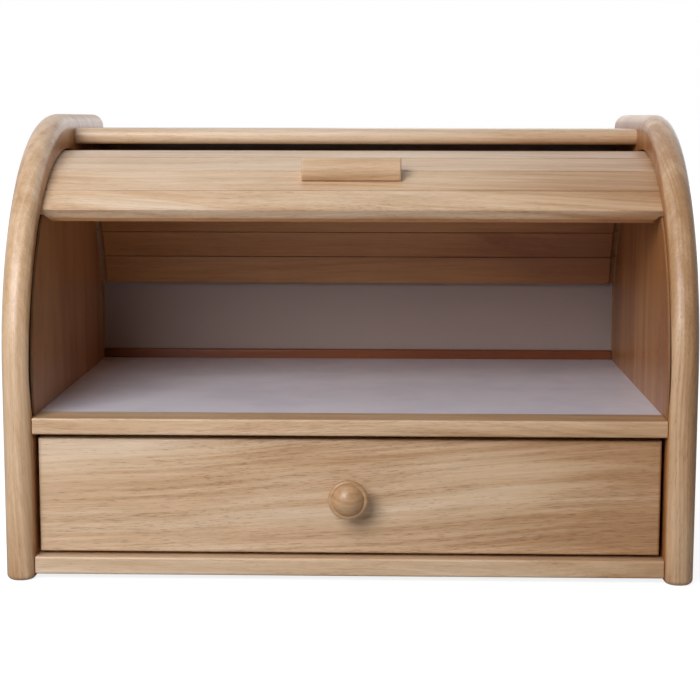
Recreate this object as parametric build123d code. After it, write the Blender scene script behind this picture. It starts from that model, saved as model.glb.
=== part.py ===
from build123d import *
from math import asin, cos, degrees, radians, sin, sqrt
import os

# Wooden bread box: a roll-top door over the bread compartment, and a drawer below it.
# Millimetres, +Z up, the front faces -Y. The origin is on the ground, under the
# middle of the whole box. Everything is drawn with the door and the drawer as they
# stand at rest: the roll-top rolled up, and the drawer shut.

# ---- the case: overall size and side panels ----
overall_width = 400.0          # across the outside of both side panels
overall_height = 270.0         # ground to the top of the side panels
case_depth = 266.0             # front to back of a side panel
side_thickness = 17.0
side_curve_radius = 147.0      # the big curve from the front edge to the top edge
side_edge_round = 8.0          # rounding along the front, curved and top edges
foot_edge_round = 3.0          # easing round the bottom of a side panel

# ---- the two openings, from the ground up ----
rail_ground_gap = 3.1
rail_height = 10.4             # bottom front and back rails
rail_depth = 23.0
rail_setback = 5.3             # front faces of rails behind the front of the side panels
drawer_gap_below = 2.0
drawer_front_height = 67.5
drawer_gap_above = 3.0
lipping_height = 9.6           # solid edge along the front of the shelf
lipping_edge_round = 1.2
shelf_thickness = 9.0
housing_depth = 5.0            # how far the shelf and the base board enter the side panels
base_thickness = 4.0
strip_height = 6.5             # strip along the back of the shelf
strip_depth = 4.0

# ---- back and top ----
back_thickness = 3.0
back_inset = 3.0               # back panel's rear face in front of the rear edges
back_groove_depth = 6.0
panel_slack = 0.3              # thin panels are this much smaller than their grooves
top_board_thickness = 10.0
top_board_drop = 9.2           # top of the board below the top of the side panels
top_board_front = 155.0        # front edge of the board behind the front of the box
top_board_rear_gap = 0.5
top_board_edge_round = 4.6
top_groove_depth = 4.0

# ---- dowels ----
dowel_radius = 2.5
dowel_length = 24.0
dowel_side_depth = 11.0        # the part of a dowel inside a side panel
dowel_fit = 0.05               # radial play of dowels and screws in their holes
dowel_end_play = 0.5
top_dowel_count = 3
top_dowel_margin = 15.0        # first and last dowel from the board's edges

# ---- roll-top door: slats that follow a circular groove ----
slat_thickness = 8.0
slat_pitch = 22.0              # along the face, joint to joint
slat_count = 11
lead_rail_pitch = 18.3
lead_rail_thickness = 10.0
slat_joint = 0.45              # open line between two slats
slat_edge_bevel = 0.5
tongue_thickness = 4.5         # the slat's end where it runs in the groove
tongue_length = 5.8            # how far it enters the groove
tongue_taper = 4.8             # length of the slope down to the tongue
tongue_shoulder_gap = 0.7
groove_play = 0.8              # between the tongue and the groove's walls
groove_depth = 6.5
groove_setback = 4.6           # groove behind the front of the side panels
groove_back_wall = 1.0         # wood between the groove and the back panel
roof_slot = 3.4                # between the slats and the top board
door_open_angle = 47.1         # lead rail's lower edge above the horizontal, door rolled up

# ---- cords that link the slats, and the handle ----
link_radius = 0.8
link_hole_play = 0.1
link_spacing = 120.0
link_end_cover = 5.0           # wood left over a cord's ends
handle_width = 60.0
handle_height = 11.6           # how far it stands off the slat
handle_length = 12.0           # along the slat's face
handle_offset = 3.6            # its middle above the slat's middle
handle_lower_round = 8.0
handle_upper_round = 2.5
handle_undercut = 1.5          # cut away along its lower edge where it meets the slat
handle_end_round = 1.0
handle_screw_spacing = 36.0
handle_screw_radius = 1.5
handle_screw_length = 15.0
handle_screw_head_radius = 3.0

# ---- drawer ----
drawer_setback = 11.0          # drawer front behind the front of the side panels
drawer_front_thickness = 12.0
drawer_side_play = 2.1         # beside the drawer front
drawer_box_inset = 1.0         # drawer sides inside the ends of the drawer front
drawer_front_round = 1.5
drawer_side_thickness = 9.0
drawer_side_height = 57.0
drawer_rear_gap = 19.0         # between the drawer and the back panel
drawer_run_gap = 0.3           # between the drawer sides and the base board
drawer_bottom_thickness = 3.5
drawer_bottom_lift = 4.5       # drawer bottom above the lower edges of its sides
drawer_groove_depth = 4.5
drawer_dowel_radius = 2.0
drawer_dowel_length = 17.0
drawer_dowel_front_depth = 7.0
drawer_dowel_side_depth = 5.0
drawer_dowel_margin = 11.0

# ---- knob ----
knob_radius = 11.6
knob_projection = 19.0
knob_height = 34.5             # knob's axis above the lower edge of the drawer front
knob_foot_radius = 6.5
knob_foot_height = 1.6
knob_neck_radius = 4.8
knob_neck_from_face = 5.0
knob_bead_width = 2.4          # ring round the dome
knob_bead_thickness = 3.4
knob_dome_height = 5.6
knob_screw_radius = 2.0
knob_screw_depth = 10.0        # thread inside the knob
knob_screw_head_radius = 3.6
knob_screw_crown_radius = 2.7  # flat top of the screw's head
knob_screw_head_height = 2.4

# ---- for picking edges and faces, and for cutting clean through ----
tiny = 0.01                    # two places closer than this are the same
near = 1.0                     # an edge closer than this to a face belongs to it
past = 1.0                     # a cut reaches this far beyond the piece

# ---- places worked out from the sizes ----
front_y = (knob_projection - drawer_setback - case_depth) / 2
rear_y = front_y + case_depth
inner_x = overall_width / 2 - side_thickness
rail_top_z = rail_ground_gap + rail_height
drawer_low_z = rail_top_z + drawer_gap_below
drawer_high_z = drawer_low_z + drawer_front_height
lipping_low_z = drawer_high_z + drawer_gap_above
shelf_z = lipping_low_z + lipping_height
rail_front_y = front_y + rail_setback
rail_back_y = rail_front_y + rail_depth
back_rear_y = rear_y - back_inset
back_front_y = back_rear_y - back_thickness
board_low_z = overall_height - top_board_drop - top_board_thickness
board_front_y = front_y + top_board_front
board_rear_y = rear_y - top_board_rear_gap

groove_span = back_front_y - groove_back_wall - front_y - groove_setback
groove_outer_radius = groove_span / 2
slat_face_radius = groove_outer_radius - groove_play  # outer corners of the slats, from the centre
ring_y = front_y + groove_setback + groove_outer_radius
ring_z = board_low_z - roof_slot - slat_face_radius
slat_angle = 2 * degrees(asin(slat_pitch / 2 / slat_face_radius))
lead_angle = 2 * degrees(asin(lead_rail_pitch / 2 / slat_face_radius))
tongue_radius = slat_face_radius - tongue_thickness
groove_inner_radius = tongue_radius * cos(radians(slat_angle / 2)) - groove_play
slat_end_x = inner_x + tongue_length
link_ring_radius = slat_face_radius - slat_thickness / 2

drawer_front_y = front_y + drawer_setback
drawer_back_y = drawer_front_y + drawer_front_thickness
drawer_rear_y = back_front_y - drawer_rear_gap
drawer_front_x = inner_x - drawer_side_play
drawer_side_x = drawer_front_x - drawer_box_inset
drawer_inner_x = drawer_side_x - drawer_side_thickness
drawer_side_low_z = rail_top_z + drawer_run_gap
drawer_side_high_z = drawer_side_low_z + drawer_side_height
drawer_panel_low_z = drawer_side_low_z + drawer_bottom_lift
drawer_panel_high_z = drawer_panel_low_z + drawer_bottom_thickness
knob_z = drawer_low_z + knob_height


def block(x_range, y_range, z_range):
    """A box between two X, two Y and two Z values."""
    size = [high - low for low, high in (x_range, y_range, z_range)]
    middle = [(high + low) / 2 for low, high in (x_range, y_range, z_range)]
    return Pos(*middle) * Box(*size)


def both_sides(shape):
    """The shape and its mirror image on the other side of the box."""
    return [shape, mirror(shape, Plane.YZ)]


def turned(profile_points, play=0.0):
    """A round piece about +Z from (radius, height) points, grown by the play."""
    points = [(radius + (play if radius > 0 else 0), height) for radius, height in profile_points]
    return revolve(make_face(Plane.XZ * Polyline(*points, close=True)), Axis.Z)


def peg(radius, start, end):
    """A round peg between two points."""
    span = Vector(*end) - Vector(*start)
    seat = Plane(origin=start, z_dir=span)
    return seat * Pos(0, 0, span.length / 2) * Cylinder(radius, span.length)


# ---- dowels: each is a place where two pieces are pinned together ----
def case_dowel_places():
    """Y and Z of each dowel that runs from a rail or board into a side panel."""
    margin = top_dowel_margin
    span = board_rear_y - board_front_y - 2 * margin
    step = span / (top_dowel_count - 1)
    board_z = board_low_z + top_board_thickness / 2
    places = [(board_front_y + margin + step * number, board_z) for number in range(top_dowel_count)]
    rail_z = rail_ground_gap + rail_height / 2
    places.append((rail_front_y + rail_depth / 2, lipping_low_z + lipping_height / 2))
    places.append((rail_front_y + rail_depth / 2, rail_z))
    places.append((back_front_y - rail_depth / 2, rail_z))
    return places


def case_dowels(play=0.0, end_play=0.0):
    """All dowels of the case, on both sides."""
    outer_x = inner_x + dowel_side_depth + end_play
    start_x = inner_x + dowel_side_depth - dowel_length - end_play
    pegs = []
    for y, z in case_dowel_places():
        pegs += both_sides(peg(dowel_radius + play, (start_x, y, z), (outer_x, y, z)))
    return pegs


def drawer_dowels(play=0.0, end_play=0.0):
    """Dowels from the drawer's sides into its front, and into its back."""
    radius = drawer_dowel_radius + play
    reach = drawer_dowel_length - drawer_dowel_front_depth + end_play
    side_middle_x = drawer_side_x - drawer_side_thickness / 2
    back_middle_y = drawer_rear_y - drawer_side_thickness / 2
    low = drawer_panel_high_z + drawer_dowel_margin
    high = drawer_side_high_z - drawer_dowel_margin
    pegs = []
    for z in (low, high):
        front_end = (side_middle_x, drawer_back_y - drawer_dowel_front_depth - end_play, z)
        side_end = (side_middle_x, drawer_back_y + reach, z)
        pegs += both_sides(peg(radius, front_end, side_end))
        outer_end = (drawer_inner_x + drawer_dowel_side_depth + end_play, back_middle_y, z)
        inner_end = (drawer_inner_x - reach, back_middle_y, z)
        pegs += both_sides(peg(radius, inner_end, outer_end))
    return pegs


def bored(shape, cutters):
    """The shape with the cutters that reach it taken away."""
    box = shape.bounding_box()
    for cutter in cutters:
        if box.overlaps(cutter.bounding_box()):
            shape = shape - cutter
    return shape


# ---- the case ----
def side_outline():
    """Side view of a side panel: straight front, one big curve, flat top."""
    foot = (front_y, 0)
    spring = (front_y, overall_height - side_curve_radius)
    crown = (front_y + side_curve_radius, overall_height)
    curve = TangentArc(spring, crown, tangent=(0, 1))
    rest = Polyline(crown, (rear_y, overall_height), (rear_y, 0), foot)
    return make_face(Plane.YZ * (Line(foot, spring) + curve + rest))


def rounded_panel():
    """The right side panel before it is grooved."""
    panel = Pos(inner_x, 0, 0) * extrude(side_outline(), side_thickness, dir=(1, 0, 0))
    edges = panel.edges().filter_by(Axis.X, reverse=True)
    rim = [edge for edge in edges if edge.center().Z > near and edge.center().Y < rear_y - near]
    panel = fillet(rim, side_edge_round)
    sole = panel.faces().sort_by(Axis.Z)[0]
    return fillet(sole.edges(), foot_edge_round)


def roll_groove():
    """The ring-shaped groove for the slats' ends, down to the shelf's level."""
    ring = Circle(groove_outer_radius) - Circle(groove_inner_radius)
    groove = Pos(inner_x, ring_y, ring_z) * extrude(Plane.YZ * ring, groove_depth, dir=(1, 0, 0))
    over_shelf = block((0, overall_width), (front_y, rear_y), (shelf_z, overall_height))
    return groove & over_shelf


def side_panel():
    """The right side panel, with its grooves, housings and dowel holes."""
    housing_x = (inner_x, inner_x + housing_depth)
    cutters = [
        roll_groove(),
        block(housing_x, (rail_back_y, back_front_y), (shelf_z - shelf_thickness, shelf_z)),
        block(housing_x, (rail_back_y, back_front_y - rail_depth), (rail_top_z - base_thickness, rail_top_z)),
        block(
            (inner_x, inner_x + back_groove_depth),
            (back_front_y, back_rear_y),
            (rail_ground_gap, board_low_z + top_groove_depth),
        ),
    ]
    return bored(rounded_panel(), cutters + case_dowels(dowel_fit, dowel_end_play))


def top_board():
    board = block(
        (-inner_x, inner_x),
        (board_front_y, board_rear_y),
        (board_low_z, board_low_z + top_board_thickness),
    )
    front_edges = board.edges().filter_by(Axis.X).group_by(Axis.Y)[0]
    board = fillet(front_edges, top_board_edge_round)
    groove = block(
        (-inner_x, inner_x), (back_front_y, back_rear_y), (board_low_z, board_low_z + top_groove_depth)
    )
    return bored(board - groove, case_dowels(dowel_fit, dowel_end_play))


def back_panel():
    half_width = inner_x + back_groove_depth - panel_slack
    high_z = board_low_z + top_groove_depth - panel_slack
    return block((-half_width, half_width), (back_front_y, back_rear_y), (rail_ground_gap, high_z))


def rail(front, low_z, height):
    """A solid rail between the side panels, with its dowel holes."""
    bar = block((-inner_x, inner_x), (front, front + rail_depth), (low_z, low_z + height))
    return bored(bar, case_dowels(dowel_fit, dowel_end_play))


def eased_rail(low_z, height):
    """A rail at the front, with its front edges eased."""
    bar = rail(rail_front_y, low_z, height)
    front_edges = bar.edges().filter_by(Axis.X).group_by(Axis.Y)[0]
    return fillet(front_edges, lipping_edge_round)


def shelf_board():
    half_width = inner_x + housing_depth
    return block((-half_width, half_width), (rail_back_y, back_front_y), (shelf_z - shelf_thickness, shelf_z))


def shelf_back_strip():
    strip = block(
        (-inner_x, inner_x), (back_front_y - strip_depth, back_front_y), (shelf_z, shelf_z + strip_height)
    )
    top_front = strip.edges().filter_by(Axis.X).group_by(Axis.Z)[-1].sort_by(Axis.Y)[0]
    return fillet(top_front, lipping_edge_round)


def base_board():
    half_width = inner_x + housing_depth
    y_range = (rail_back_y, back_front_y - rail_depth)
    return block((-half_width, half_width), y_range, (rail_top_z - base_thickness, rail_top_z))


# ---- the roll-top door ----
def half_angle(angle):
    """Half the angle that a slat fills, without its share of the open joint."""
    return radians(angle) / 2 - slat_joint / 2 / slat_face_radius


def on_ring(shape, middle_angle):
    """Turns a shape drawn at the ring's top to its angle above the front horizontal."""
    return Pos(0, ring_y, ring_z) * Rot(90 - middle_angle, 0, 0) * shape


def plain_slat(angle, thickness):
    """A flat slat drawn at the top of the ring, its long edges on the ring's radii."""
    half = half_angle(angle)
    outer = slat_face_radius
    inner = slat_face_radius - thickness
    corners = [
        (-outer * sin(half), outer * cos(half)),
        (outer * sin(half), outer * cos(half)),
        (inner * sin(half), inner * cos(half)),
        (-inner * sin(half), inner * cos(half)),
    ]
    section = make_face(Plane.YZ * Polyline(*corners, close=True))
    slat = extrude(section, slat_end_x, both=True)
    face_edges = slat.edges().filter_by(Axis.X).group_by(Axis.Z)[-1]
    return chamfer(face_edges, slat_edge_bevel)


def end_taper(angle, thickness):
    """What is cut from a slat's right end to leave its tongue."""
    half = half_angle(angle)
    inner_z = (slat_face_radius - thickness) * cos(half) - past
    tongue_z = tongue_radius * cos(half)
    foot_x = inner_x - tongue_shoulder_gap
    corners = [
        (foot_x - tongue_taper, inner_z),
        (foot_x, tongue_z),
        (slat_end_x + past, tongue_z),
        (slat_end_x + past, inner_z),
    ]
    side = make_face(Plane.XZ * Polyline(*corners, close=True))
    return extrude(side, slat_pitch, both=True)


def link_arcs(radius, end_angle_margin):
    """Three round cords that follow the ring through the slats."""
    start = door_open_angle + end_angle_margin
    sweep = lead_angle + slat_count * slat_angle - 2 * end_angle_margin
    arcs = []
    for x in (-link_spacing, 0, link_spacing):
        section = Pos(x, 0, link_ring_radius) * Rot(90, 0, 0) * Circle(radius)
        arc = revolve(section, Axis.X, sweep)
        arcs.append(Pos(0, ring_y, ring_z) * Rot(90 - start - sweep, 0, 0) * arc)
    return arcs


def link_margin(cover):
    """The angle that a length along the cord takes up."""
    return degrees(cover / link_ring_radius)


def slat_middle(number):
    """Angle of a slat's middle; number 1 is next to the lead rail."""
    return door_open_angle + lead_angle + (number - 0.5) * slat_angle


def slat(angle, middle_angle, thickness, extra_cutters=()):
    """One slat in its place, with tongues at its ends and holes for the cords."""
    shape = plain_slat(angle, thickness)
    for taper in both_sides(end_taper(angle, thickness)):
        shape = shape - taper
    shape = on_ring(shape, middle_angle)
    holes = link_arcs(link_radius + link_hole_play, link_margin(link_end_cover - link_hole_play))
    return bored(shape, holes + list(extra_cutters))


def handle_base_z():
    """Height of the flat face that the handle sits on, with its slat at the ring's top."""
    return slat_face_radius * cos(half_angle(slat_angle))


def handle_screws(play=0.0):
    """Countersunk screws from inside the slat into the handle."""
    inner_z = (slat_face_radius - slat_thickness) * cos(half_angle(slat_angle))
    cone = handle_screw_head_radius - handle_screw_radius
    points = [
        (0, 0),
        (handle_screw_head_radius, 0),
        (handle_screw_radius, cone),
        (handle_screw_radius, handle_screw_length - handle_screw_radius),
        (0, handle_screw_length + play),
    ]
    screw = turned(points, play)
    half = handle_screw_spacing / 2
    return [on_ring(Pos(x, handle_offset, inner_z) * screw, slat_middle(1)) for x in (-half, half)]


def door_handle():
    """A rounded bar across the middle of the first slat."""
    base = handle_base_z()
    low = handle_offset - handle_length / 2
    high = handle_offset + handle_length / 2
    half_width = handle_width / 2
    bar = block((-half_width, half_width), (low, high), (base, base + handle_height))
    crest = bar.edges().filter_by(Axis.X).group_by(Axis.Z)[-1].sort_by(Axis.Y)
    bar = fillet(crest[0], handle_lower_round)
    crest = bar.edges().filter_by(Axis.X).filter_by_position(Axis.Y, high - tiny, high + tiny)
    bar = fillet(crest.sort_by(Axis.Z)[-1], handle_upper_round)
    ends = [face for face in bar.faces() if abs(abs(face.center().X) - half_width) < tiny]
    seat_z = base + tiny
    rims = [edge for face in ends for edge in face.edges() if edge.bounding_box().max.Z > seat_z]
    bar = fillet(rims, handle_end_round)
    notch_side = handle_undercut * sqrt(2)
    notch = Pos(0, low, base) * Rot(45, 0, 0) * Box(handle_width + past, notch_side, notch_side)
    return bored(on_ring(bar - notch, slat_middle(1)), handle_screws(dowel_fit))


# ---- the drawer ----
def drawer_groove():
    """Room for the drawer's bottom panel in its sides and front."""
    half_width = drawer_inner_x + drawer_groove_depth
    y_range = (drawer_back_y - drawer_groove_depth, drawer_rear_y)
    return block((-half_width, half_width), y_range, (drawer_panel_low_z, drawer_panel_high_z))


def drawer_front():
    front = block(
        (-drawer_front_x, drawer_front_x), (drawer_front_y, drawer_back_y), (drawer_low_z, drawer_high_z)
    )
    face_edges = front.faces().sort_by(Axis.Y)[0].edges()
    front = fillet(face_edges, drawer_front_round) - drawer_groove()
    return bored(front, [knob_screw(dowel_fit)] + drawer_dowels(dowel_fit, dowel_end_play))


def drawer_side():
    """The right drawer side."""
    side = block(
        (drawer_inner_x, drawer_side_x),
        (drawer_back_y, drawer_rear_y),
        (drawer_side_low_z, drawer_side_high_z),
    )
    return bored(side - drawer_groove(), drawer_dowels(dowel_fit, dowel_end_play))


def drawer_back():
    back = block(
        (-drawer_inner_x, drawer_inner_x),
        (drawer_rear_y - drawer_side_thickness, drawer_rear_y),
        (drawer_panel_high_z, drawer_side_high_z),
    )
    return bored(back, drawer_dowels(dowel_fit, dowel_end_play))


def drawer_bottom():
    half_width = drawer_inner_x + drawer_groove_depth - panel_slack
    y_range = (drawer_back_y - drawer_groove_depth + panel_slack, drawer_rear_y)
    return block((-half_width, half_width), y_range, (drawer_panel_low_z, drawer_panel_high_z))


def knob_screw(play=0.0):
    """Pan-head screw through the drawer front into the knob."""
    head_z = -knob_screw_head_height
    tip_z = drawer_front_thickness + knob_screw_depth
    head_radius = knob_screw_head_radius
    points = [
        (0, head_z),
        (knob_screw_crown_radius, head_z),
        (head_radius, head_z / 2),
        (head_radius, 0),
        (knob_screw_radius, 0),
        (knob_screw_radius, tip_z - knob_screw_radius),
        (0, tip_z + play),
    ]
    return Pos(0, drawer_back_y, knob_z) * Rot(90, 0, 0) * turned(points, play)


def drawer_knob():
    """Turned knob: foot, waisted neck, a ring and a dome inside the ring."""
    ring_back = knob_projection - knob_dome_height - knob_bead_thickness
    ring_front = knob_projection - knob_dome_height
    dome_radius = knob_radius - knob_bead_width
    foot_edge = (knob_foot_radius, knob_foot_height)
    waist = (knob_neck_radius, knob_neck_from_face)
    ring_low = (knob_radius - knob_bead_width / 2, ring_back)
    ring_edge = (knob_radius, ring_back + knob_bead_thickness / 2)
    dome_edge = (dome_radius, ring_front)
    lines = Polyline((0, knob_projection), (0, 0), (knob_foot_radius, 0), foot_edge)
    lines += ThreePointArc(foot_edge, waist, ring_low)
    lines += ThreePointArc(ring_low, ring_edge, dome_edge)
    lines += TangentArc((0, knob_projection), dome_edge, tangent=(1, 0))
    body = revolve(make_face(Plane.XZ * lines), Axis.Z)
    return bored(Pos(0, drawer_front_y, knob_z) * Rot(90, 0, 0) * body, [knob_screw(dowel_fit)])


def all_parts():
    """Every piece of the bread box by its name."""
    side = side_panel()
    drawer_wall = drawer_side()
    parts = {
        "right_side_panel": side,
        "left_side_panel": mirror(side, Plane.YZ),
        "top_board": top_board(),
        "back_panel": back_panel(),
        "shelf_board": shelf_board(),
        "shelf_lipping": eased_rail(lipping_low_z, lipping_height),
        "shelf_back_strip": shelf_back_strip(),
        "bottom_front_rail": eased_rail(rail_ground_gap, rail_height),
        "bottom_back_rail": rail(back_front_y - rail_depth, rail_ground_gap, rail_height),
        "base_board": base_board(),
        "case_dowels": Compound(children=case_dowels()),
        "lead_rail": slat(lead_angle, door_open_angle + lead_angle / 2, lead_rail_thickness),
        "slat_link_cords": Compound(children=link_arcs(link_radius, link_margin(link_end_cover))),
        "door_handle": door_handle(),
        "handle_screws": Compound(children=handle_screws()),
        "drawer_front": drawer_front(),
        "drawer_right_side": drawer_wall,
        "drawer_left_side": mirror(drawer_wall, Plane.YZ),
        "drawer_back": drawer_back(),
        "drawer_bottom": drawer_bottom(),
        "drawer_dowels": Compound(children=drawer_dowels()),
        "drawer_knob": drawer_knob(),
        "knob_screw": knob_screw(),
    }
    for number in range(1, slat_count + 1):
        cutters = handle_screws(dowel_fit) if number == 1 else ()
        parts[f"slat_{number:02d}"] = slat(slat_angle, slat_middle(number), slat_thickness, cutters)
    return parts


os.makedirs("parts", exist_ok=True)
for name, shape in all_parts().items():
    export_step(shape, f"parts/{name}.step")
print(f"door axis along X at y {ring_y:.2f} z {ring_z:.2f}")
print(f"door closes by {door_open_angle + degrees(asin((ring_z - shelf_z) / slat_face_radius)):.2f} degrees")
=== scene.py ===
import math

import bpy
from mathutils import Matrix, Vector

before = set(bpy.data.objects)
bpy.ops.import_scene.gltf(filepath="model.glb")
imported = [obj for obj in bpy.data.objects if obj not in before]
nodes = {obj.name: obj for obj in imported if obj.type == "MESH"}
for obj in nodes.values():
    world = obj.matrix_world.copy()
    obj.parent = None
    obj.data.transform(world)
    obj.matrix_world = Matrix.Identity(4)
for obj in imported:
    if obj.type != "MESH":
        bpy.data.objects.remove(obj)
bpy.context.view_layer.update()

# Lengths are in metres. Noise scales are in cycles a metre.

# ---------------------------------------------------------------- node helpers
BEVEL_SAMPLES = 4
# how far the bevel turns a normal, as 1 less the cosine: where the edge colour (worn edges, and on the slats
# painted joint shade) starts, and where it is full
EDGE_TURN_START, EDGE_TURN_FULL = 0.005, 0.12
# the Mix node's sockets for colours
MIX_FACTOR, MIX_FIRST, MIX_SECOND = 0, 6, 7
MIX_RESULT = 2


class Tree:
    """The nodes of a material or of the world, made with few words."""

    def __init__(self, owner):
        self.owner = owner
        owner.use_nodes = True
        self.nodes = owner.node_tree.nodes
        self.links = owner.node_tree.links
        self.nodes.clear()

    def add(self, kind, inputs=None, **settings):
        node = self.nodes.new("ShaderNode" + kind)
        for key, value in settings.items():
            setattr(node, key, value)
        for key, value in (inputs or {}).items():
            self.feed(node.inputs[key], value)
        return node

    def feed(self, socket, value):
        """Link the socket to another node's output, or set it to a constant."""
        if hasattr(value, "is_output"):
            self.links.new(value, socket)
        else:
            socket.default_value = value

    def math(self, operation, first, second=0.0, third=0.0, clamp=False):
        inputs = {0: first, 1: second, 2: third}
        return self.add("Math", inputs, operation=operation, use_clamp=clamp).outputs[0]

    def hypotenuse(self, first, second):
        squares = self.math("ADD", self.math("POWER", first, 2.0), self.math("POWER", second, 2.0))
        return self.math("SQRT", squares)

    def vector(self, operation, first, second):
        return self.add("VectorMath", {0: first, 1: second}, operation=operation).outputs[0]

    def parts(self, vector):
        """The vector's X, Y and Z."""
        return self.add("SeparateXYZ", {0: vector}).outputs

    def object_place(self):
        return self.add("TexCoord").outputs["Object"]

    def noise(self, vector, scale=1.0, detail=2.0, rough=0.5, distortion=0.0, output=0):
        """Noise from 0 to 1. The output Color holds three unlike noises."""
        inputs = {"Vector": vector, "Scale": scale, "Detail": detail, "Roughness": rough}
        inputs["Distortion"] = distortion
        return self.add("TexNoise", inputs).outputs[output]

    def grain_noise(self, vector, along, across, **fineness):
        """Noise with one scale along the grain, which runs along the vector's X, and one across."""
        return self.noise(self.vector("MULTIPLY", vector, (along, across, across)), **fineness)

    def step(self, value, low, high, start=0.0, end=1.0):
        """A smooth step from start to end as the value goes from low to high."""
        inputs = {"Value": value, "From Min": low, "From Max": high, "To Min": start, "To Max": end}
        return self.add("MapRange", inputs, interpolation_type="SMOOTHSTEP").outputs["Result"]

    def mix(self, factor, first, second, blend="MIX"):
        inputs = {MIX_FACTOR: factor, MIX_FIRST: first, MIX_SECOND: second}
        return self.add("Mix", inputs, data_type="RGBA", blend_type=blend).outputs[MIX_RESULT]

    def multiply(self, factor, colour, by):
        """The colour multiplied by another one, as far as the factor says."""
        return self.mix(factor, colour, by, "MULTIPLY")

    def soft_normal(self, radius):
        return self.add("Bevel", {"Radius": radius}, samples=BEVEL_SAMPLES).outputs[0]

    def edge_mask(self, soft):
        """Near 1 at a sharp edge, 0 on flat faces."""
        plain = self.add("NewGeometry").outputs["Normal"]
        dot = self.add("VectorMath", {0: soft, 1: plain}, operation="DOT_PRODUCT").outputs["Value"]
        return self.step(self.math("SUBTRACT", 1.0, dot), EDGE_TURN_START, EDGE_TURN_FULL)

    def surface(self, **sockets):
        """The finished material, with the shader's sockets given with _ for a space."""
        shader = self.add("BsdfPrincipled")
        for key, value in sockets.items():
            self.feed(shader.inputs[key.replace("_", " ")], value)
        self.add("OutputMaterial", {"Surface": shader.outputs[0]})
        return self.owner


def material_tree(name):
    return Tree(bpy.data.materials.new(name))


def srgb(red, green, blue):
    """A colour given as 0 to 255 display values, made linear by the sRGB standard's curve."""
    def linear(value):
        value /= 255
        return value / 12.92 if value <= 0.04045 else ((value + 0.055) / 1.055) ** 2.4
    return (linear(red), linear(green), linear(blue), 1.0)


# ---------------------------------------------------------------- painted shade on faces that look into the box
# painted shade: the first colour deepens faces that look into the box, the second paints near dark into the
# side panels' grooves
SHADED = srgb(214, 172, 112)
GROOVE_SHADE = srgb(104, 68, 38)

# as in the CAD: the axis that the roll-top door turns about, how far from it the slats' outer
# corners are, the side panels' inner faces, and the depth of the ring-shaped groove in them
RING_AXIS_Y, RING_AXIS_Z = 0.0028, 0.1210
RING_FACE = 0.1264
SLAT_THICKNESS = 0.0080
PANEL_INNER_X = 0.1830
GROOVE_DEPTH = 0.0065

SLAT_SHADE = 0.9
PANEL_SHADE = 0.85

# where each shading is full and where it ends: inward from the slats' outer corners, outward from
# the panels' inner faces (three pairs), and outward from the slats' outer corners
SLAT_SHADE_FULL, SLAT_SHADE_END = SLAT_THICKNESS - 0.0002, SLAT_THICKNESS - 0.0018
PANEL_SHADE_FULL, PANEL_SHADE_END = 0.0002, 0.0012
GROOVE_DARK_START, GROOVE_DARK_FULL = 0.0004, 0.0016
GROOVE_FLOOR_FULL, GROOVE_FLOOR_END = GROOVE_DEPTH + 0.0001, GROOVE_DEPTH + 0.0003
GROOVE_RIM_FULL, GROOVE_RIM_END = 0.0012, 0.0014


def ring_radius(tree, place):
    """Distance from the axis that the roll-top door turns about."""
    parts = tree.parts(place)
    across = tree.math("SUBTRACT", parts[1], RING_AXIS_Y)
    upward = tree.math("SUBTRACT", parts[2], RING_AXIS_Z)
    return tree.hypotenuse(across, upward)


def slat_inside_shade(tree, place, colour):
    """Painted shade on the slats' inner faces, which look at the middle of their ring."""
    full, end = RING_FACE - SLAT_SHADE_FULL, RING_FACE - SLAT_SHADE_END
    inner = tree.step(ring_radius(tree, place), full, end, SLAT_SHADE, 0.0)
    return tree.multiply(inner, colour, SHADED)


def panel_inside_shade(tree, place, colour):
    """Painted shade on the side panels' inner faces, and a near dark painted shade in their ring-shaped
    grooves.
    """
    sideways = tree.math("ABSOLUTE", tree.parts(place)[0])

    def behind_face(near, far, start, end):
        return tree.step(sideways, PANEL_INNER_X + near, PANEL_INNER_X + far, start, end)

    # painted shade on the inner faces
    inner = behind_face(PANEL_SHADE_FULL, PANEL_SHADE_END, PANEL_SHADE, 0.0)
    colour = tree.multiply(inner, colour, SHADED)
    past_face = behind_face(GROOVE_DARK_START, GROOVE_DARK_FULL, 0.0, 1.0)
    over_floor = behind_face(GROOVE_FLOOR_FULL, GROOVE_FLOOR_END, 1.0, 0.0)
    sunk = tree.math("MULTIPLY", past_face, over_floor)
    full, end = RING_FACE + GROOVE_RIM_FULL, RING_FACE + GROOVE_RIM_END
    within = tree.step(ring_radius(tree, place), full, end, 1.0, 0.0)
    # painted shade, near dark, in the grooves
    return tree.multiply(tree.math("MULTIPLY", sunk, within), colour, GROOVE_SHADE)


def strip_inside_shade(tree, place, colour):
    """Painted shade all over, twice, for a strip that lies in the box."""
    return tree.multiply(1.0, tree.multiply(1.0, colour, SHADED), SHADED)


# ---------------------------------------------------------------- wood
GRAIN_TURN = {"X": (0, 0, 0), "Y": (0, 0, -math.pi / 2), "Z": (0, math.pi / 2, 0)}
PALE = srgb(230, 204, 173)
HONEY = srgb(220, 185, 146)
DEEP = srgb(188, 143, 98)
PORE = srgb(138, 90, 54)
# the edge colour: worn edges, and on the slats and lead rail, painted shade in the joints
WORN_AND_JOINT_SHADE = srgb(158, 112, 74)

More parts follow.
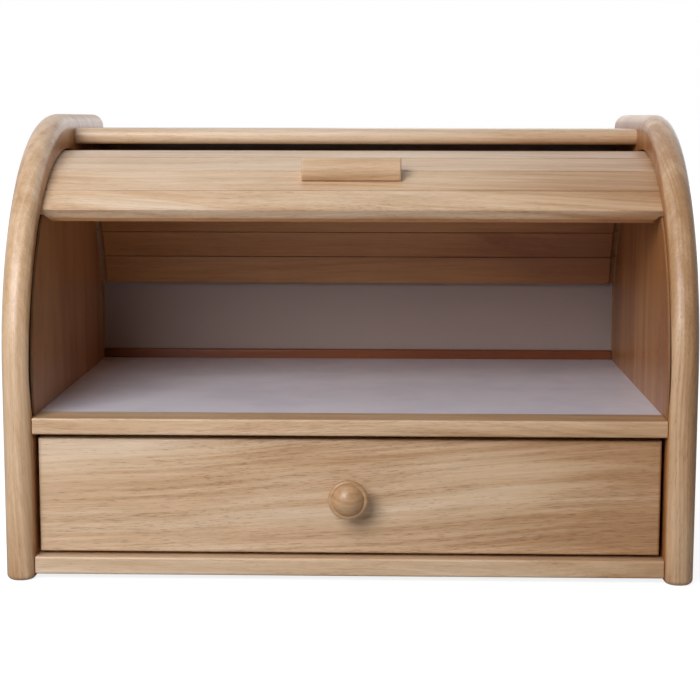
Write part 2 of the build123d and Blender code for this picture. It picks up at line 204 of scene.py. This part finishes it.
WANDER = dict(along=4.0, across=9.0, detail=1.0, output="Color")
WANDER_REACH = 0.022
FIBRE = dict(along=22.0, across=900.0, detail=5.0, rough=0.7)
THREAD = dict(along=9.0, across=330.0, detail=3.0, rough=0.6)
STREAK = dict(along=2.6, across=80.0, detail=4.0, rough=0.6, distortion=0.3)
PATCH = dict(along=6.0, across=22.0, detail=2.0, rough=0.5)
DASH = dict(along=120.0, across=2500.0, detail=2.0, rough=0.6)
GROWTH_BANDS = {"Scale": 240.0, "Detail": 3.0, "Roughness": 0.6}
LATE_START, LATE_FULL = 0.4, 0.68
RING_TAPER = 0.03
NOISE_MIDDLE = 0.5

# how far apart the seed sets two pieces, along the grain before it wanders and then in X, Y and Z
SEED_ALONG = 0.37
SEED_SHIFT = (1.7, 0.31, 0.53)

PORES_IN_LATE, PORES_IN_PATCH = 0.06, 0.3
PORES_SPARED = 0.16
PORE_START, PORE_FULL = 0.56, 0.74
PORE_DARKNESS = 0.5

# the colour goes from pale over honey to deep as its warmth rises, and a painted shade toward the right end
# adds to it
WARMTH = 0.3
STREAK_WARMTH = 2.4
RING_WARMTH = 0.55
# where the painted shade toward the right end is full
RIGHT_SHADE_FULL_X = 0.19
HONEY_START, HONEY_FULL = 0.0, 0.6
DEEP_START, DEEP_FULL = 0.45, 1.1

# fibres and threads darken or lighten the colour, its green and blue more than its red
SHADE_RANGE = (0.3, 0.7)
FIBRE_DARK, FIBRE_LIGHT = 0.9, 1.05
THREAD_DARK, THREAD_LIGHT = 0.93, 1.04
GREEN_POWER, BLUE_POWER = 1.15, 1.4

WOOD_EDGE_RADIUS = 0.0008
FIBRE_ROUGHNESS, PORE_ROUGHNESS = 0.12, 0.2
FIBRE_RELIEF, PORE_RELIEF = 0.3, -1.0
WOOD_BUMP = {"Strength": 0.35, "Distance": 0.00025}
LACQUER = dict(Coat_Weight=0.5, Coat_Roughness=0.3, Specular_IOR_Level=0.5)


def grain_lines(tree, place, grain, lean, seed):
    """The place turned so that the grain runs along X, in lines that wander slowly."""
    turn = {"Vector": place, "Rotation": GRAIN_TURN[grain]}
    turned = tree.add("Mapping", turn, vector_type="POINT").outputs[0]
    leaning = {"Vector": turned, "Rotation": (0.0, *lean), "Location": (seed * SEED_ALONG, 0, 0)}
    straight = tree.add("Mapping", leaning, vector_type="POINT").outputs[0]
    slow = tree.grain_noise(tree.vector("ADD", straight, (seed, seed, 0.0)), **WANDER)
    centred = tree.vector("SUBTRACT", slow, (NOISE_MIDDLE, NOISE_MIDDLE, NOISE_MIDDLE))
    wander = tree.vector("MULTIPLY", centred, (0.0, WANDER_REACH, WANDER_REACH))
    return tree.vector("ADD", straight, wander)


def late_wood(tree, lines, pith):
    """Near 1 in the dark bands of the growth rings round the pith, 0 between them."""
    parts = tree.parts(tree.vector("ADD", lines, (0.0, *pith)))
    taper = tree.math("MULTIPLY_ADD", parts[0], RING_TAPER, tree.hypotenuse(parts[1], parts[2]))
    bands = tree.add("TexNoise", {"W": taper, **GROWTH_BANDS}, noise_dimensions="1D")
    return tree.step(bands.outputs[0], LATE_START, LATE_FULL)


def pore_dashes(tree, shifted, late, patch, pores):
    """Thin short dashes, crowded in the late wood and in some patches."""
    dash = tree.grain_noise(shifted, **DASH)
    crowd = tree.math("MULTIPLY_ADD", late, PORES_IN_LATE, tree.math("MULTIPLY", patch, PORES_IN_PATCH))
    dash = tree.math("ADD", dash, tree.math("SUBTRACT", crowd, PORES_SPARED))
    return tree.math("MULTIPLY", tree.step(dash, PORE_START, PORE_FULL), pores, clamp=True)


def fibre_tint(tree, fibre, thread):
    """What the fibres and threads multiply the colour by."""
    fibre_shade = tree.step(fibre, *SHADE_RANGE, FIBRE_DARK, FIBRE_LIGHT)
    thread_shade = tree.step(thread, *SHADE_RANGE, THREAD_DARK, THREAD_LIGHT)
    shade = tree.math("MULTIPLY", fibre_shade, thread_shade)
    green = tree.math("POWER", shade, GREEN_POWER)
    blue = tree.math("POWER", shade, BLUE_POWER)
    return tree.add("CombineXYZ", {0: shade, 1: green, 2: blue}).outputs[0]


def wood(name, grain, seed, pith=(0.05, 0.06), lean=(0.0, 0.0), tone=0.0, pores=1.0, rings=0.3,
         streaks=0.5, roughness=0.46, right_end_shade=0.0, wear_and_joint_shade=0.25, inside_shade=None):
    """Clear lacquered pale hardwood, solid through the piece. Grain is the axis that it runs
    along, seed sets the piece apart from others, pith is where the rings' centre lies across the
    grain, and lean tilts the grain up and sideways. Tone moves the colour from pale (-) to deep
    (+), and drift paints shade that deepens it toward the right end, the side the lamps light less.
    Pores, rings, streaks and wear at the edges are how strongly each shows, the edge colour being
    worn edges, and on the slats also painted shade in the joints between them; inside paints shade
    on the faces that look into the box."""
    tree = material_tree(name)
    place = tree.object_place()
    lines = grain_lines(tree, place, grain, lean, seed)
    shifted = tree.vector("ADD", lines, tuple(seed * shift for shift in SEED_SHIFT))
    late = late_wood(tree, lines, pith)
    fibre = tree.grain_noise(shifted, **FIBRE)
    thread = tree.grain_noise(shifted, **THREAD)
    streak = tree.grain_noise(shifted, **STREAK)
    patch = tree.grain_noise(shifted, **PATCH)
    pore = pore_dashes(tree, shifted, late, patch, pores)

    warmth_and_shade = tree.math("MULTIPLY", tree.math("SUBTRACT", streak, NOISE_MIDDLE), streaks * STREAK_WARMTH)
    warmth_and_shade = tree.math("ADD", tree.math("SUBTRACT", patch, NOISE_MIDDLE), warmth_and_shade)
    warmth_and_shade = tree.math("MULTIPLY_ADD", late, rings * RING_WARMTH, warmth_and_shade)
    # painted shade: deeper toward the right end
    warmth_and_shade = tree.math("ADD", warmth_and_shade, tree.step(tree.parts(place)[0], 0.0, RIGHT_SHADE_FULL_X, 0.0, right_end_shade))
    warmth_and_shade = tree.math("ADD", warmth_and_shade, WARMTH + tone, clamp=True)
    colour = tree.mix(tree.step(warmth_and_shade, HONEY_START, HONEY_FULL), PALE, HONEY)
    colour = tree.mix(tree.step(warmth_and_shade, DEEP_START, DEEP_FULL), colour, DEEP)
    colour = tree.multiply(1.0, colour, fibre_tint(tree, fibre, thread))
    colour = tree.mix(tree.math("MULTIPLY", pore, PORE_DARKNESS), colour, PORE)
    soft = tree.soft_normal(WOOD_EDGE_RADIUS)
    # darker edges: worn edges, and where the slats and lead rail meet, painted shade in the joints
    colour = tree.mix(tree.math("MULTIPLY", tree.edge_mask(soft), wear_and_joint_shade), colour, WORN_AND_JOINT_SHADE)
    if inside_shade:
        colour = inside_shade(tree, place, colour)

    rough = tree.math("MULTIPLY_ADD", fibre, FIBRE_ROUGHNESS, roughness - FIBRE_ROUGHNESS / 2)
    rough = tree.math("MULTIPLY_ADD", pore, PORE_ROUGHNESS, rough)
    relief = tree.math("MULTIPLY_ADD", fibre, FIBRE_RELIEF, tree.math("MULTIPLY", pore, PORE_RELIEF))
    bump = tree.add("Bump", {"Height": relief, "Normal": soft, **WOOD_BUMP}).outputs[0]
    return tree.surface(Base_Color=colour, Roughness=rough, Normal=bump, **LACQUER)


# ---------------------------------------------------------------- board with a white face
WHITE, WHITE_MOTTLED = srgb(232, 229, 236), srgb(222, 219, 228)
WHITE_RUBBED = srgb(211, 207, 215)
# painted shade for a white face deep in the box
WHITE_SHADED = srgb(178, 160, 152)
FIBREBOARD, FIBREBOARD_DARK = srgb(184, 149, 110), srgb(156, 119, 83)
SPECK = srgb(150, 140, 140)

MOTTLE = dict(scale=26.0, detail=3.0, rough=0.55)
SPECKS = dict(scale=900.0, detail=2.0, rough=0.6)
RUBBINGS = dict(along=6.0, across=60.0, detail=3.0, rough=0.6)
FLAKES = dict(along=700.0, across=700.0, detail=4.0, rough=0.7)
MOTTLE_RANGE = (0.35, 0.7)
SPECK_RANGE, SPECK_STRENGTH = (0.62, 0.75), 0.12
RUBBING_RANGE, RUBBING_STRENGTH = (0.6, 0.8), 0.25
FLAKE_RANGE = (0.3, 0.72)
FACING_RANGE = (0.4, 0.6)
BARE_ROUGHNESS, WHITE_ROUGHNESS, MOTTLE_ROUGHNESS = 0.75, 0.36, 0.1
BOARD_BUMP = {"Strength": 0.2, "Distance": 0.0001}
BOARD_SPECULAR = 0.45


def board(name, face_axis, face_sign, painted_shade=0.0):
    """Thin board: white and smooth on the face that looks along the axis, bare fibreboard elsewhere.
    The last argument, from 0 to 1, greys and warms the white: a painted shade for a board deep in the box."""
    tree = material_tree(name)
    coords = tree.add("TexCoord").outputs
    place = coords["Object"]
    mottle = tree.noise(place, **MOTTLE)
    speck = tree.noise(place, **SPECKS)
    rubbing = tree.grain_noise(place, **RUBBINGS)
    flake = tree.grain_noise(place, **FLAKES)

    white = tree.mix(tree.step(mottle, *MOTTLE_RANGE), WHITE, WHITE_MOTTLED)
    white = tree.mix(tree.step(rubbing, *RUBBING_RANGE, 0.0, RUBBING_STRENGTH), white, WHITE_RUBBED)
    # painted shade: a greyer, warmer white
    white = tree.mix(painted_shade, white, WHITE_SHADED)
    brown = tree.mix(tree.step(flake, *FLAKE_RANGE), FIBREBOARD, FIBREBOARD_DARK)
    normal = tree.parts(coords["Normal"])[face_axis]
    is_face = tree.step(tree.math("MULTIPLY", normal, face_sign), *FACING_RANGE)
    colour = tree.mix(is_face, brown, white)
    colour = tree.mix(tree.step(speck, *SPECK_RANGE, 0.0, SPECK_STRENGTH), colour, SPECK)

    rough = tree.step(is_face, 0.0, 1.0, BARE_ROUGHNESS, WHITE_ROUGHNESS)
    rough = tree.math("MULTIPLY_ADD", mottle, MOTTLE_ROUGHNESS, rough)
    relief = tree.math("ADD", speck, flake)
    bump = tree.add("Bump", {"Height": relief, **BOARD_BUMP}).outputs[0]
    return tree.surface(Base_Color=colour, Roughness=rough, Normal=bump, Specular_IOR_Level=BOARD_SPECULAR)


# ---------------------------------------------------------------- steel and cord
ZINC, ZINC_DULL, ZINC_WORN = srgb(188, 189, 192), srgb(150, 151, 155), srgb(220, 220, 222)
SCUFFS = dict(scale=800.0, detail=4.0, rough=0.6)
STEEL_EDGE_RADIUS = 0.0003
STEEL_WEAR = 0.4
SCUFF_RANGE = (0.3, 0.7)
STEEL_ROUGHNESS_LOW, STEEL_ROUGHNESS_HIGH = 0.25, 0.45
STEEL_BUMP = {"Strength": 0.2, "Distance": 0.00005}

CORD_PALE, CORD_DARK = srgb(214, 203, 180), srgb(170, 156, 130)
TWIST = dict(along=1800.0, across=700.0, detail=3.0, rough=0.6)
TWIST_RANGE = (0.3, 0.7)
CORD_ROUGHNESS_LOW, CORD_ROUGHNESS_HIGH = 0.75, 0.92
CORD_BUMP = {"Strength": 0.5, "Distance": 0.0002}


def steel(name):
    tree = material_tree(name)
    scuff = tree.noise(tree.object_place(), **SCUFFS)
    colour = tree.mix(scuff, ZINC, ZINC_DULL)
    worn = tree.edge_mask(tree.soft_normal(STEEL_EDGE_RADIUS))
    colour = tree.mix(tree.math("MULTIPLY", worn, STEEL_WEAR), colour, ZINC_WORN)
    rough = tree.step(scuff, *SCUFF_RANGE, STEEL_ROUGHNESS_LOW, STEEL_ROUGHNESS_HIGH)
    bump = tree.add("Bump", {"Height": scuff, **STEEL_BUMP}).outputs[0]
    return tree.surface(Base_Color=colour, Roughness=rough, Normal=bump, Metallic=1.0)


def cord(name):
    tree = material_tree(name)
    twist = tree.grain_noise(tree.object_place(), **TWIST)
    colour = tree.mix(twist, CORD_PALE, CORD_DARK)
    rough = tree.step(twist, *TWIST_RANGE, CORD_ROUGHNESS_LOW, CORD_ROUGHNESS_HIGH)
    bump = tree.add("Bump", {"Height": twist, **CORD_BUMP}).outputs[0]
    return tree.surface(Base_Color=colour, Roughness=rough, Normal=bump)


# ---------------------------------------------------------------- one finish for each piece
SLAT_COUNT = 11
SLAT_SEED_START, SLAT_SEED_STEP = 20.0, 1.37
SLAT_LEAN, SLAT_LEAN_TURN = 0.015, 2.4
SLAT_TONE, SLAT_TONE_TURN, SLAT_TONE_START = 0.09, 1.9, 0.4


def dress(name, material):
    slots = nodes[name].data.materials
    slots.clear()
    slots.append(material)


def slat_wood(number):
    """The wood of one slat, which leans and shades a little unlike its neighbours'."""
    lean = SLAT_LEAN * math.sin(SLAT_LEAN_TURN * number)
    tone = SLAT_TONE * math.sin(SLAT_TONE_TURN * number + SLAT_TONE_START)
    seed = SLAT_SEED_START + SLAT_SEED_STEP * number
    # painted shade: deeper toward the right end, in the joints between slats, and on the inner faces
    return wood(f"wood_slat_{number:02d}", grain="X", seed=seed, pith=(0.2, 0.05), lean=(lean, lean),
                tone=tone, rings=0.3, pores=0.6, right_end_shade=0.6, wear_and_joint_shade=0.8, inside_shade=slat_inside_shade)


# painted shade below: some pieces deepen toward their right end, faces in the box deepen, and the strong
# edge colour on the slats and lead rail paints shade into their joints
dress("left_side_panel", wood(
    "wood_left_side", grain="Z", seed=3.1, pith=(0.16, 0.235), lean=(0.06, 0.09), tone=0.2,
    rings=0.5, pores=0.5, wear_and_joint_shade=0.15, inside_shade=panel_inside_shade))
dress("right_side_panel", wood(
    "wood_right_side", grain="Z", seed=7.7, pith=(0.12, -0.16), lean=(-0.04, 0.03), tone=0.45,
    rings=0.45, pores=0.9, wear_and_joint_shade=0.15, inside_shade=panel_inside_shade))
dress("top_board", wood(
    "wood_top_board", grain="X", seed=1.3, pith=(0.12, -0.2), tone=-0.15, rings=0.2, pores=0.6, right_end_shade=0.3))
dress("shelf_lipping", wood(
    "wood_lipping", grain="X", seed=5.9, pith=(0.2, -0.03), tone=0.05, rings=0.25, pores=0.7, right_end_shade=0.45))
dress("bottom_front_rail", wood(
    "wood_front_rail", grain="X", seed=8.3, pith=(0.22, 0.04), rings=0.2, pores=0.6, right_end_shade=0.3))
dress("bottom_back_rail", wood("wood_back_rail", grain="X", seed=9.9, pith=(-0.1, 0.05), tone=0.05))
# the strip lies in shade in the box: its deep tone and the painted shade, twice over, stand in for that
# shade
dress("shelf_back_strip", wood(
    "wood_back_strip", grain="X", seed=2.2, pith=(-0.2, -0.1), tone=0.6, inside_shade=strip_inside_shade))
dress("drawer_front", wood(
    "wood_drawer_front", grain="X", seed=4.4, pith=(0.16, -0.3), lean=(0.05, 0.0), tone=0.08,
    pores=1.3, rings=0.35, streaks=0.7, right_end_shade=0.5))
for piece, seed in (("drawer_left_side", 11.0), ("drawer_right_side", 12.0)):
    dress(piece, wood("wood_" + piece, grain="Y", seed=seed, pith=(0.1, 0.05), tone=-0.08, pores=0.6))
dress("drawer_back", wood("wood_drawer_back", grain="X", seed=13.5, pith=(0.1, 0.03), tone=-0.05, pores=0.6))
dress("drawer_knob", wood(
    "wood_knob", grain="X", seed=15.1, pith=(0.12, -0.02), tone=0.6, pores=0.6, streaks=0.25,
    roughness=0.4))
dress("door_handle", wood(
    "wood_handle", grain="X", seed=16.4, pith=(0.03, -0.3), tone=0.15, rings=0.2, pores=0.5))
dress("lead_rail", wood(
    "wood_lead_rail", grain="X", seed=17.2, pith=(0.07, -0.19), lean=(-0.03, 0.05), tone=0.05,
    rings=0.5, pores=1.1, streaks=0.8, right_end_shade=0.5, wear_and_joint_shade=0.8, inside_shade=slat_inside_shade))
for number in range(1, SLAT_COUNT + 1):
    dress(f"slat_{number:02d}", slat_wood(number))
dowel_wood = wood("wood_dowels", grain="X", seed=40.2, tone=-0.05, pores=0.5)
dress("case_dowels", dowel_wood)
dress("drawer_dowels", dowel_wood)
dress("shelf_board", board("board_shelf", face_axis="Z", face_sign=1.0))
# the back panel stands deep in the box, where the whole painted shade darkens its white
dress("back_panel", board("board_back", face_axis="Y", face_sign=-1.0, painted_shade=1.0))
dress("base_board", board("board_base", face_axis="Z", face_sign=1.0))
dress("drawer_bottom", board("board_drawer_bottom", face_axis="Z", face_sign=1.0))
zinc = steel("steel_zinc")
dress("handle_screws", zinc)
dress("knob_screw", zinc)
dress("slat_link_cords", cord("cord_braid"))

# ---------------------------------------------------------------- camera
# fitted to the square photo. Pitch turns the aim down, yaw turns it to the right, and roll lifts
# the camera's right side, all in radians.
FOCAL_PIXELS = 1675.0
FRAME_PIXELS = 700.0
SENSOR_WIDTH = 36.0
CAMERA_PLACE = (0.02394, -1.07157, 0.26674)
CAMERA_PITCH = 0.13678
CAMERA_YAW = -0.02438
CAMERA_ROLL = 0.00147

level = Vector((math.sin(CAMERA_YAW), math.cos(CAMERA_YAW), 0.0))
aim = level * math.cos(CAMERA_PITCH) - Vector((0, 0, math.sin(CAMERA_PITCH)))
side = Vector((math.cos(CAMERA_YAW), -math.sin(CAMERA_YAW), 0.0))
upward = side.cross(aim)
cosine, sine = math.cos(CAMERA_ROLL), math.sin(CAMERA_ROLL)
rolled_side = side * cosine + upward * sine
rolled_upward = upward * cosine - side * sine
turn = Matrix((rolled_side, rolled_upward, -aim)).transposed().to_4x4()

camera_data = bpy.data.cameras.new("camera")
camera_data.sensor_width = SENSOR_WIDTH
camera_data.lens = FOCAL_PIXELS * SENSOR_WIDTH / FRAME_PIXELS
camera = bpy.data.objects.new("camera", camera_data)
bpy.context.scene.collection.objects.link(camera)
camera.matrix_world = Matrix.Translation(CAMERA_PLACE) @ turn
bpy.context.scene.camera = camera

# ---------------------------------------------------------------- lamps
WHITE_LIGHT = (1.0, 1.0, 1.0)
COOL_LIGHT = (0.98, 0.985, 1.03)
WARM_LIGHT = (1.0, 0.8, 0.62)
SKY_LIGHT = (0.97, 0.98, 1.0)


def softbox(name, place, target, width, height, power, colour=WHITE_LIGHT):
    """A square or oblong lamp at the place, turned to the target. Power is in watts."""
    lamp = bpy.data.lights.new(name, "AREA")
    lamp.shape = "RECTANGLE"
    lamp.size = width
    lamp.size_y = height
    lamp.energy = power
    lamp.color = colour
    holder = bpy.data.objects.new(name, lamp)
    bpy.context.scene.collection.objects.link(holder)
    holder.location = place
    holder.rotation_euler = (Vector(target) - Vector(place)).to_track_quat("-Z", "Y").to_euler()


softbox("key", place=(-0.5, -1.0, 0.72), target=(0.0, -0.1, 0.15), width=0.7, height=0.7, power=12.6,
        colour=COOL_LIGHT)
softbox("fill", place=(1.2, -1.1, 0.5), target=(0.0, -0.05, 0.13), width=0.8, height=0.8, power=0.6,
        colour=WARM_LIGHT)
softbox("top", place=(-0.35, -0.25, 1.3), target=(0.0, 0.0, 0.2), width=0.8, height=0.6, power=0.9,
        colour=SKY_LIGHT)
softbox("back", place=(0.5, 1.7, 0.5), target=(0.0, 0.0, 0.13), width=1.2, height=0.8, power=3.0)

# ---------------------------------------------------------------- surroundings
# strength of the light from the surroundings, which grows upward and toward the back
SKY_FROM_Z, SKY_TO_Z, SKY_LOW, SKY_HIGH = 0.1, 0.9, 0.02, 0.2
SKY_FROM_Y, SKY_TO_Y, SKY_FRONT, SKY_BACK = 0.1, 0.7, 0.0, 0.8
SKY_COLOUR = (0.97, 0.97, 1.0, 1.0)
BACKDROP_COLOUR = (1.0, 1.0, 1.0, 1.0)

world = bpy.data.worlds.new("world")
bpy.context.scene.world = world
sky = Tree(world)
direction = sky.parts(sky.add("TexCoord").outputs["Generated"])
by_height = sky.step(direction["Z"], SKY_FROM_Z, SKY_TO_Z, SKY_LOW, SKY_HIGH)
by_depth = sky.step(direction["Y"], SKY_FROM_Y, SKY_TO_Y, SKY_FRONT, SKY_BACK)
strength = sky.math("ADD", by_height, by_depth)
ambient = sky.add("Background", {"Color": SKY_COLOUR, "Strength": strength})
backdrop = sky.add("Background", {"Color": BACKDROP_COLOUR, "Strength": 1.0})
ray = sky.add("LightPath").outputs
straight_view = sky.math("MAXIMUM", ray["Is Camera Ray"], ray["Is Transmission Ray"])
choose = sky.add("MixShader", {0: straight_view, 1: ambient.outputs[0], 2: backdrop.outputs[0]})
sky.add("OutputWorld", {"Surface": choose.outputs[0]})

# ---------------------------------------------------------------- floor
# a grey floor that glows white to the camera alone, a little less near the object
FLOOR_HALF = 6.0
FLOOR_DROP = 0.0002
FLOOR_GREY = (0.4, 0.4, 0.4, 1.0)
GLOW_COLOUR = (1.0, 1.0, 1.0, 1.0)
GLOW_NEAR, GLOW_FAR = 0.84, 1.0
NEAR_DISTANCE, FAR_DISTANCE = 0.3, 0.75

floor_mesh = bpy.data.meshes.new("floor")
corners = [(x * FLOOR_HALF, y * FLOOR_HALF, 0.0) for x, y in ((-1, -1), (1, -1), (1, 1), (-1, 1))]
floor_mesh.from_pydata(corners, [], [(0, 1, 2, 3)])
floor = bpy.data.objects.new("floor", floor_mesh)
floor.location = (0, 0, -FLOOR_DROP)
bpy.context.scene.collection.objects.link(floor)

pale = material_tree("floor_white")
distance = pale.add("VectorMath", {0: pale.object_place()}, operation="LENGTH").outputs["Value"]
away = pale.step(distance, NEAR_DISTANCE, FAR_DISTANCE)
by_distance = pale.step(away, 0.0, 1.0, GLOW_NEAR, GLOW_FAR)
seen_glow = pale.math("MULTIPLY", by_distance, pale.add("LightPath").outputs["Is Camera Ray"])
matt = pale.add("BsdfDiffuse", {"Color": FLOOR_GREY})
glow = pale.add("Emission", {"Color": GLOW_COLOUR, "Strength": seen_glow})
both = pale.add("AddShader", {0: matt.outputs[0], 1: glow.outputs[0]})
pale.add("OutputMaterial", {"Surface": both.outputs[0]})
floor_mesh.materials.append(pale.owner)

bpy.context.scene.view_settings.view_transform = "Standard"
